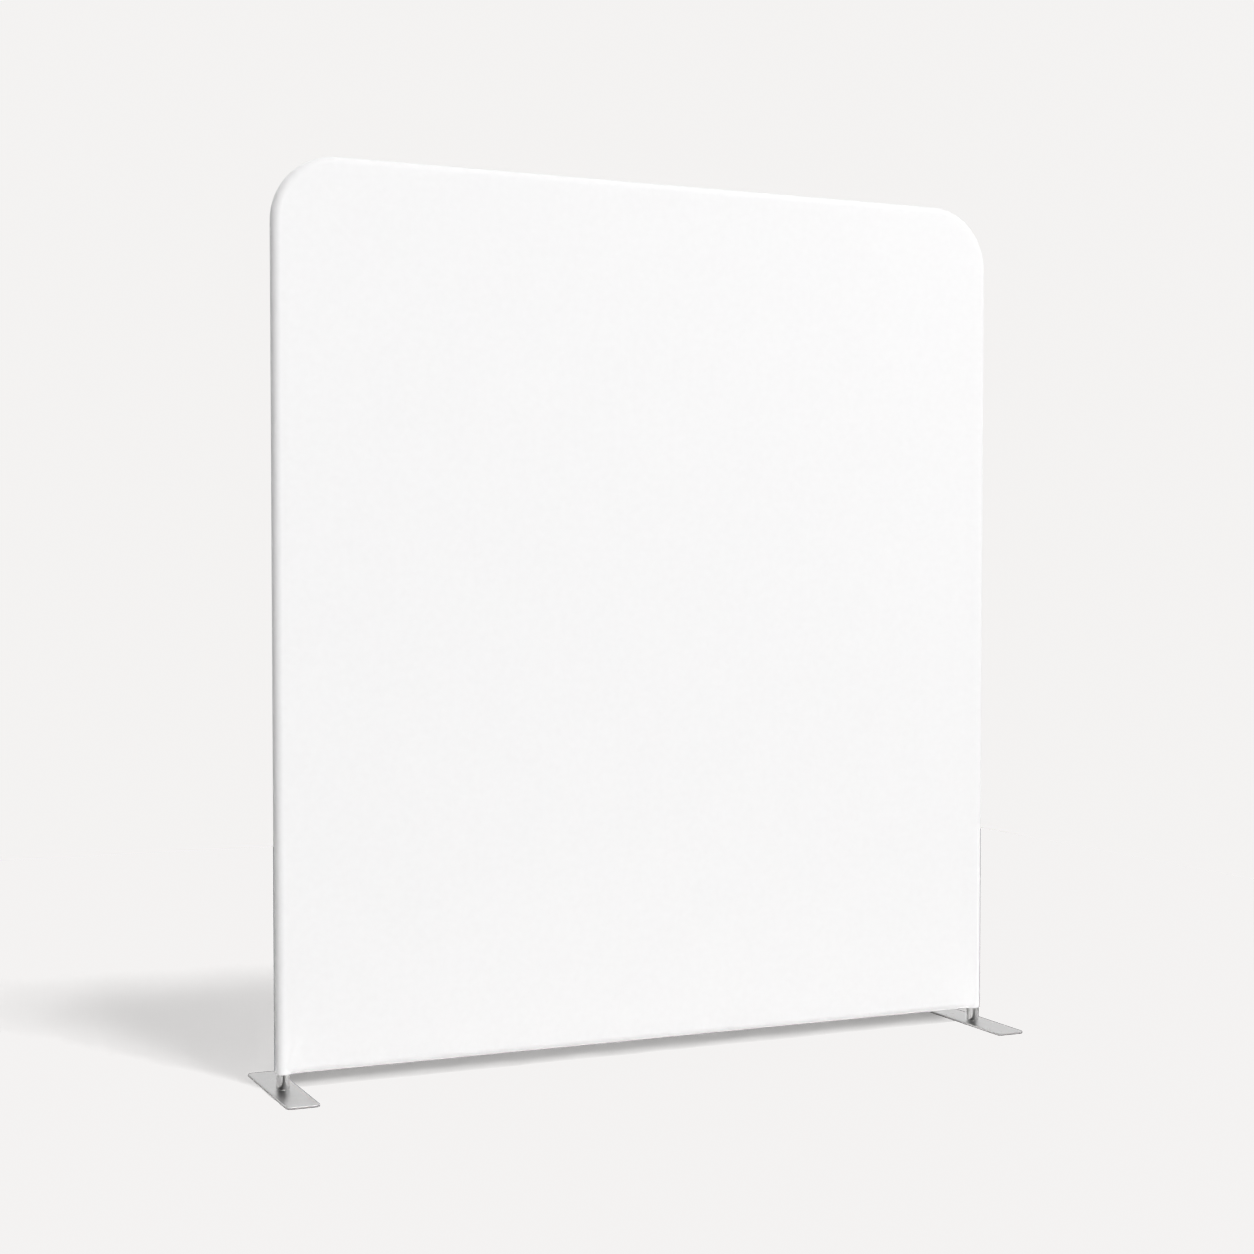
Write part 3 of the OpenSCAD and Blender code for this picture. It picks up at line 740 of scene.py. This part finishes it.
def cloth_material(name, light, dark, wale=0.00075, course=0.00055, bump=0.00003):
    """Stretch polyester knit: fine ribs across and along, in the cloth's own flat coordinates."""
    m, nt, b = new_material(name)
    uv = node(nt, "ShaderNodeUVMap")
    uv.uv_map = "flat"
    sep = nt.nodes.new("ShaderNodeSeparateXYZ")
    put(nt, uv, "UV", sep, 0)

    def rib(axis, step, phase=0.0):
        mul = node(nt, "ShaderNodeMath", operation="MULTIPLY")
        nt.links.new(sep.outputs[axis], mul.inputs[0])
        mul.inputs[1].default_value = 2 * math.pi / step
        add = node(nt, "ShaderNodeMath", operation="ADD")
        nt.links.new(mul.outputs[0], add.inputs[0])
        add.inputs[1].default_value = phase
        sine = node(nt, "ShaderNodeMath", operation="SINE")
        nt.links.new(add.outputs[0], sine.inputs[0])
        return sine

    across, down = rib(0, wale), rib(1, course)
    knit = node(nt, "ShaderNodeMath", operation="MULTIPLY")
    nt.links.new(across.outputs[0], knit.inputs[0])
    nt.links.new(down.outputs[0], knit.inputs[1])
    ribs = node(nt, "ShaderNodeMath", operation="MULTIPLY_ADD")
    nt.links.new(across.outputs[0], ribs.inputs[0])
    ribs.inputs[1].default_value = 0.6
    nt.links.new(knit.outputs[0], ribs.inputs[2])
    fuzz = node(nt, "ShaderNodeTexNoise", noise_dimensions="3D")
    fuzz.inputs["Scale"].default_value = 420.0
    fuzz.inputs["Detail"].default_value = 3.0
    tc = nt.nodes.new("ShaderNodeTexCoord")
    put(nt, tc, "Object", fuzz, "Vector")
    height = node(nt, "ShaderNodeMath", operation="MULTIPLY_ADD")
    nt.links.new(fuzz.outputs["Fac"], height.inputs[0])
    height.inputs[1].default_value = 1.6
    nt.links.new(ribs.outputs[0], height.inputs[2])
    bp = node(nt, "ShaderNodeBump")
    bp.inputs["Strength"].default_value = 0.35
    bp.inputs["Distance"].default_value = bump
    nt.links.new(height.outputs[0], bp.inputs["Height"])
    nt.links.new(bp.outputs["Normal"], b.inputs["Normal"])
    cloud = node(nt, "ShaderNodeTexNoise")
    cloud.inputs["Scale"].default_value = 60.0
    cloud.inputs["Detail"].default_value = 4.0
    put(nt, tc, "Object", cloud, "Vector")
    ramp = nt.nodes.new("ShaderNodeMapRange")
    ramp.inputs["From Min"].default_value, ramp.inputs["From Max"].default_value = 0.3, 0.7
    nt.links.new(cloud.outputs["Fac"], ramp.inputs["Value"])
    mx = mix_color(nt, ramp, 0, dark, light)
    nt.links.new(mx.outputs[2], b.inputs["Base Color"])
    b.inputs["Roughness"].default_value = 0.88
    b.inputs["Specular IOR Level"].default_value = 0.18
    b.inputs["Sheen Weight"].default_value = 0.06
    b.inputs["Sheen Roughness"].default_value = 0.45
    return m


def metal_material(name, color, rough, rough_var=0.04, scratch=0.0, scale=(1, 1, 1), spots=0.0, aniso=0.0):
    """Metal whose roughness varies softly, with fine drawn lines if scratch is set."""
    m, nt, b = new_material(name)
    b.inputs["Metallic"].default_value = 1.0
    tc = nt.nodes.new("ShaderNodeTexCoord")
    mp = nt.nodes.new("ShaderNodeMapping")
    mp.inputs["Scale"].default_value = scale
    put(nt, tc, "Object", mp, "Vector")
    fine = node(nt, "ShaderNodeTexNoise")
    fine.inputs["Scale"].default_value = 900.0
    fine.inputs["Detail"].default_value = 4.0
    put(nt, mp, "Vector", fine, "Vector")
    broad = node(nt, "ShaderNodeTexNoise")
    broad.inputs["Scale"].default_value = 28.0
    broad.inputs["Detail"].default_value = 5.0
    put(nt, tc, "Object", broad, "Vector")
    rr = nt.nodes.new("ShaderNodeMapRange")
    rr.inputs["From Min"].default_value, rr.inputs["From Max"].default_value = 0.3, 0.7
    rr.inputs["To Min"].default_value, rr.inputs["To Max"].default_value = rough - rough_var, rough + rough_var
    nt.links.new(broad.outputs["Fac"], rr.inputs["Value"])
    nt.links.new(rr.outputs[0], b.inputs["Roughness"])
    cr = nt.nodes.new("ShaderNodeMapRange")
    cr.inputs["From Min"].default_value, cr.inputs["From Max"].default_value = 0.35, 0.65
    nt.links.new(fine.outputs["Fac"], cr.inputs["Value"])
    mx = mix_color(nt, cr, 0, tuple(c * (0.97 - spots) for c in color), color)
    nt.links.new(mx.outputs[2], b.inputs["Base Color"])
    if scratch:
        bp = node(nt, "ShaderNodeBump")
        bp.inputs["Strength"].default_value = 0.5
        bp.inputs["Distance"].default_value = scratch
        nt.links.new(fine.outputs["Fac"], bp.inputs["Height"])
        nt.links.new(bp.outputs["Normal"], b.inputs["Normal"])
    b.inputs["Anisotropic"].default_value = aniso
    return m


def plastic_material(name, color, rough, bump=0.00002, scale=500.0):
    m, nt, b = new_material(name)
    tc = nt.nodes.new("ShaderNodeTexCoord")
    grain = node(nt, "ShaderNodeTexNoise")
    grain.inputs["Scale"].default_value = scale
    grain.inputs["Detail"].default_value = 4.0
    put(nt, tc, "Object", grain, "Vector")
    mx = mix_color(nt, grain, "Fac", tuple(c * 0.9 for c in color), tuple(min(1.0, c * 1.05) for c in color))
    nt.links.new(mx.outputs[2], b.inputs["Base Color"])
    bp = node(nt, "ShaderNodeBump")
    bp.inputs["Strength"].default_value = 0.4
    bp.inputs["Distance"].default_value = bump
    nt.links.new(grain.outputs["Fac"], bp.inputs["Height"])
    nt.links.new(bp.outputs["Normal"], b.inputs["Normal"])
    b.inputs["Roughness"].default_value = rough
    return m


def tape_material(name, color):
    """Woven tape: a fine herringbone that runs along x."""
    m, nt, b = new_material(name)
    tc = nt.nodes.new("ShaderNodeTexCoord")
    sep = nt.nodes.new("ShaderNodeSeparateXYZ")
    put(nt, tc, "Object", sep, 0)
    zig = node(nt, "ShaderNodeMath", operation="PINGPONG")
    nt.links.new(sep.outputs[2], zig.inputs[0])
    zig.inputs[1].default_value = 0.0016
    add = node(nt, "ShaderNodeMath", operation="ADD")
    nt.links.new(sep.outputs[0], add.inputs[0])
    nt.links.new(zig.outputs[0], add.inputs[1])
    mul = node(nt, "ShaderNodeMath", operation="MULTIPLY")
    nt.links.new(add.outputs[0], mul.inputs[0])
    mul.inputs[1].default_value = 2 * math.pi / 0.0008
    sine = node(nt, "ShaderNodeMath", operation="SINE")
    nt.links.new(mul.outputs[0], sine.inputs[0])
    rr = nt.nodes.new("ShaderNodeMapRange")
    rr.inputs["From Min"].default_value, rr.inputs["From Max"].default_value = -1, 1
    nt.links.new(sine.outputs[0], rr.inputs["Value"])
    mx = mix_color(nt, rr, 0, tuple(c * 0.88 for c in color), color)
    nt.links.new(mx.outputs[2], b.inputs["Base Color"])
    bp = node(nt, "ShaderNodeBump")
    bp.inputs["Strength"].default_value = 0.6
    bp.inputs["Distance"].default_value = 0.00006
    nt.links.new(rr.outputs[0], bp.inputs["Height"])
    nt.links.new(bp.outputs["Normal"], b.inputs["Normal"])
    b.inputs["Roughness"].default_value = 0.8
    b.inputs["Sheen Weight"].default_value = 0.1
    return m


CLOTH = cloth_material("white_stretch_knit", (0.905, 0.902, 0.905), (0.890, 0.886, 0.889))
HEM = cloth_material("white_hem", (0.89, 0.886, 0.888), (0.86, 0.856, 0.858))
THREAD = plastic_material("white_thread", (0.86, 0.86, 0.86), 0.6, 0.00003, 1500)
CHROME_PLATE = metal_material("polished_plate", (0.565, 0.562, 0.558), 0.30, 0.03, 0.0000008, (1, 0.03, 1))
CHROME_POST = metal_material("polished_post", (0.66, 0.66, 0.66), 0.09, 0.02, 0.0000005, (1, 1, 0.03))
TUBE = metal_material("drawn_aluminium", (0.77, 0.775, 0.78), 0.32, 0.05, 0.000002, (0.2, 1, 0.2))
SLEEVE = metal_material("sleeve_aluminium", (0.62, 0.63, 0.65), 0.36, 0.05, 0.000002, (0.2, 1, 0.2))
STEEL = metal_material("zinc_steel", (0.52, 0.53, 0.55), 0.30, 0.06, 0.000002)
BUTTON = metal_material("plated_button", (0.66, 0.66, 0.67), 0.2, 0.04)
SPRING = metal_material("spring_steel", (0.42, 0.43, 0.46), 0.34, 0.06, 0.000002, (0.1, 1, 1))
RUBBER = plastic_material("black_rubber", (0.035, 0.035, 0.037), 0.8, 0.00004, 700)
TAPE = tape_material("white_woven_tape", (0.84, 0.84, 0.84))
COIL = plastic_material("white_nylon_coil", (0.86, 0.86, 0.855), 0.38, 0.00001, 1500)
ZIP_METAL = metal_material("plated_zip_metal", (0.62, 0.62, 0.62), 0.22, 0.05)

by_slot = {"chrome_plate": CHROME_PLATE, "chrome_post": CHROME_POST, "pad_rubber": RUBBER, "screw_steel": STEEL, "frame_tube": TUBE, "sleeve_tube": SLEEVE,
           "button_steel": BUTTON, "spring_steel": SPRING, "cover_cloth": CLOTH, "zip_tape": TAPE, "zip_coil": COIL, "zip_metal": ZIP_METAL}
slot_of = {p["node"]: p["material_slot"] for p in frame["record"]["subparts"]}
for name, o in NODES.items():
    m = by_slot[slot_of[name]]
    if not o.data.materials:
        o.data.materials.append(m)
    for k in range(len(o.material_slots)):
        o.material_slots[k].material = m


def dress(o, material, slot, body, *nodes):
    o.data.materials.clear()
    o.data.materials.append(material)
    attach(o, body)
    if nodes:
        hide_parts(*nodes)


dress(cover_front, CLOTH, "cover_cloth", "frame", "cover_front")
dress(cover_back, CLOTH, "cover_cloth", "frame", "cover_back")
for h in hems:
    if "flat" not in h.data.uv_layers:
        layer = h.data.uv_layers.new(name="flat")
        for lp in h.data.loops:
            v = h.data.vertices[lp.vertex_index].co
            layer.data[lp.index].uv = (v.x + v.y, v.z)
    dress(h, HEM, "cover_cloth", "frame")
dress(stitches, THREAD, "cover_cloth", "frame")
dress(zip_tapes[0], TAPE, "zip_tape", "frame", "zip_tape_lower")
dress(zip_tapes[1], TAPE, "zip_tape", "frame", "zip_tape_upper")
dress(coils[0], COIL, "zip_coil", "frame", "zip_coil_lower")
dress(coils[1], COIL, "zip_coil", "frame", "zip_coil_upper")
dress(stops, ZIP_METAL, "zip_metal", "frame", "zip_stops")
dress(slider, ZIP_METAL, "zip_metal", "zip_slider", "zip_slider")
dress(pull, ZIP_METAL, "zip_metal", "zip_pull", "zip_pull")

for o, joint_name, axis, far, keep_share in springs:
    dress(o, SPRING, "spring_steel", "frame", "snap_springs")
    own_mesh(o)

# ------------------------------------------------------------------ floor, world and lights
BACKDROP = (0.9035, 0.8915, 0.8835)       # the plain pale backdrop
me = bpy.data.meshes.new("floor")
me.from_pydata([(-2.3, -2.6, 0), (3.6, -2.6, 0), (3.6, 4.6, 0), (-2.3, 4.6, 0)], [], [(0, 1, 2, 3)])
floor = link("floor", me)
fm, nt, b = new_material("pale_floor")
b.inputs["Base Color"].default_value = (0.850, 0.8388, 0.8312, 1)
b.inputs["Roughness"].default_value = 0.9
b.inputs["Specular IOR Level"].default_value = 0.0
ray = nt.nodes.new("ShaderNodeLightPath")
tone = mix_color(nt, ray, "Is Diffuse Ray", (0.850, 0.8388, 0.8312), (0.36, 0.355, 0.35))
nt.links.new(tone.outputs[2], b.inputs["Base Color"])
floor.data.materials.append(fm)
floor.is_shadow_catcher = True        # shows the plain backdrop, darkened only where the wall keeps light off it

world = bpy.data.worlds.new("studio")
scene.world = world
world.use_nodes = True
nt = world.node_tree
nt.nodes.clear()
out = nt.nodes.new("ShaderNodeOutputWorld")
tc = nt.nodes.new("ShaderNodeTexCoord")


def env(terms, base, least, dark=None):
    """Soft studio dome: a base strength, a part that grows towards each direction named, and one darker side."""
    total = None
    for d, amount in terms:
        dot = node(nt, "ShaderNodeVectorMath", operation="DOT_PRODUCT")
        put(nt, tc, "Generated", dot, 0)
        dot.inputs[1].default_value = d
        add = node(nt, "ShaderNodeMath", operation="MULTIPLY_ADD")
        nt.links.new(dot.outputs["Value"], add.inputs[0])
        add.inputs[1].default_value = amount
        if total is None:
            add.inputs[2].default_value = base
        else:
            nt.links.new(total.outputs[0], add.inputs[2])
        total = add
    if dark:
        dot = node(nt, "ShaderNodeVectorMath", operation="DOT_PRODUCT")
        put(nt, tc, "Generated", dot, 0)
        dot.inputs[1].default_value = dark[0]
        side_on = node(nt, "ShaderNodeMath", operation="MAXIMUM")
        nt.links.new(dot.outputs["Value"], side_on.inputs[0])
        side_on.inputs[1].default_value = 0.0
        less = node(nt, "ShaderNodeMath", operation="MULTIPLY_ADD")
        nt.links.new(side_on.outputs[0], less.inputs[0])
        less.inputs[1].default_value = -dark[1]
        nt.links.new(total.outputs[0], less.inputs[2])
        total = less
    top = node(nt, "ShaderNodeMath", operation="MAXIMUM")
    nt.links.new(total.outputs[0], top.inputs[0])
    top.inputs[1].default_value = least
    bg = nt.nodes.new("ShaderNodeBackground")
    nt.links.new(top.outputs[0], bg.inputs["Strength"])
    bg.inputs["Color"].default_value = (1.0, 1.0, 1.0, 1)
    return bg


dome = env([((1, 0, 0), 0.10), ((0, -1, 0), 0.03), ((0, 0, 1), -0.12)], 0.34, 0.03)
shine = env([((1, 0, 0), 0.20), ((0, -1, 0), -0.10), ((0, 0, 1), 0.45)], 0.62, 0.03, ((-0.41, -0.91, 0.0), 0.75))
plain = nt.nodes.new("ShaderNodeBackground")
plain.inputs["Color"].default_value = (*BACKDROP, 1)
path = nt.nodes.new("ShaderNodeLightPath")
mix1 = nt.nodes.new("ShaderNodeMixShader")
mix2 = nt.nodes.new("ShaderNodeMixShader")
nt.links.new(path.outputs["Is Glossy Ray"], mix1.inputs[0])
nt.links.new(dome.outputs[0], mix1.inputs[1])
nt.links.new(shine.outputs[0], mix1.inputs[2])
nt.links.new(path.outputs["Is Camera Ray"], mix2.inputs[0])
nt.links.new(mix1.outputs[0], mix2.inputs[1])
nt.links.new(plain.outputs[0], mix2.inputs[2])
nt.links.new(mix2.outputs[0], out.inputs["Surface"])

not_floor = bpy.data.collections.new("lit_by_fills")
not_floor.objects.link(floor)
not_floor.collection_objects[0].light_linking.link_state = "EXCLUDE"
no_feet = bpy.data.collections.new("lit_from_behind")
for o in [floor] + [NODES[n] for n in NODES if n.startswith("foot_")]:
    no_feet.objects.link(o)
for link_state in no_feet.collection_objects:
    link_state.light_linking.link_state = "EXCLUDE"
only_floor = bpy.data.collections.new("lit_by_low_front")
only_floor.objects.link(floor)


def sun(name, power, toward, size, fill=False, shadows=True):
    """A distant lamp that shines from the direction toward. A fill lights the wall and passes the floor by."""
    lamp = bpy.data.lights.new(name, "SUN")
    lamp.energy = power
    lamp.angle = math.radians(size)
    lamp.use_shadow = shadows
    o = bpy.data.objects.new(name, lamp)
    scene.collection.objects.link(o)
    d = Vector(toward).normalized()
    o.rotation_mode = "QUATERNION"
    o.rotation_quaternion = (-d).to_track_quat("-Z", "Y")
    o.location = d * 6
    if fill:
        o.light_linking.receiver_collection = not_floor
        o.light_linking.blocker_collection = no_feet
    return o


sun("key", 1.66, (0.173, -0.532, 0.829), 13)
low = sun("low_front", 2.20, (-0.370, -0.830, 0.420), 12)
low.light_linking.blocker_collection = no_feet
low.light_linking.receiver_collection = only_floor
front = sun("front_fill", 0.93, (0.04, -0.766, -0.643), 30, fill=True)
under = sun("under_fill", 0.85, (0.0, -0.30, -0.95), 30, fill=True)
sun("rear_fill", 0.50, (0.3, 0.9, -0.3), 40, fill=True)
sun("top_fill", 0.78, (0.05, -0.30, 0.95), 30, fill=True)
back = sun("back_fill", 1.0, (-0.55, 0.78, 0.30), 40, fill=True)
for o in (front, under, back):
    o.light_linking.receiver_collection = no_feet

side = bpy.data.lights.new("side_fill", "AREA")
side.shape, side.size, side.energy = "DISK", 1.4, 21.0
side_o = bpy.data.objects.new("side_fill", side)
scene.collection.objects.link(side_o)
side_o.location = (3.3, -2.8, 4.0)
side_o.rotation_mode = "QUATERNION"
side_o.rotation_quaternion = (Vector((0.6, 0, 1.7)) - side_o.location).to_track_quat("-Z", "Y")
side_o.light_linking.receiver_collection = not_floor
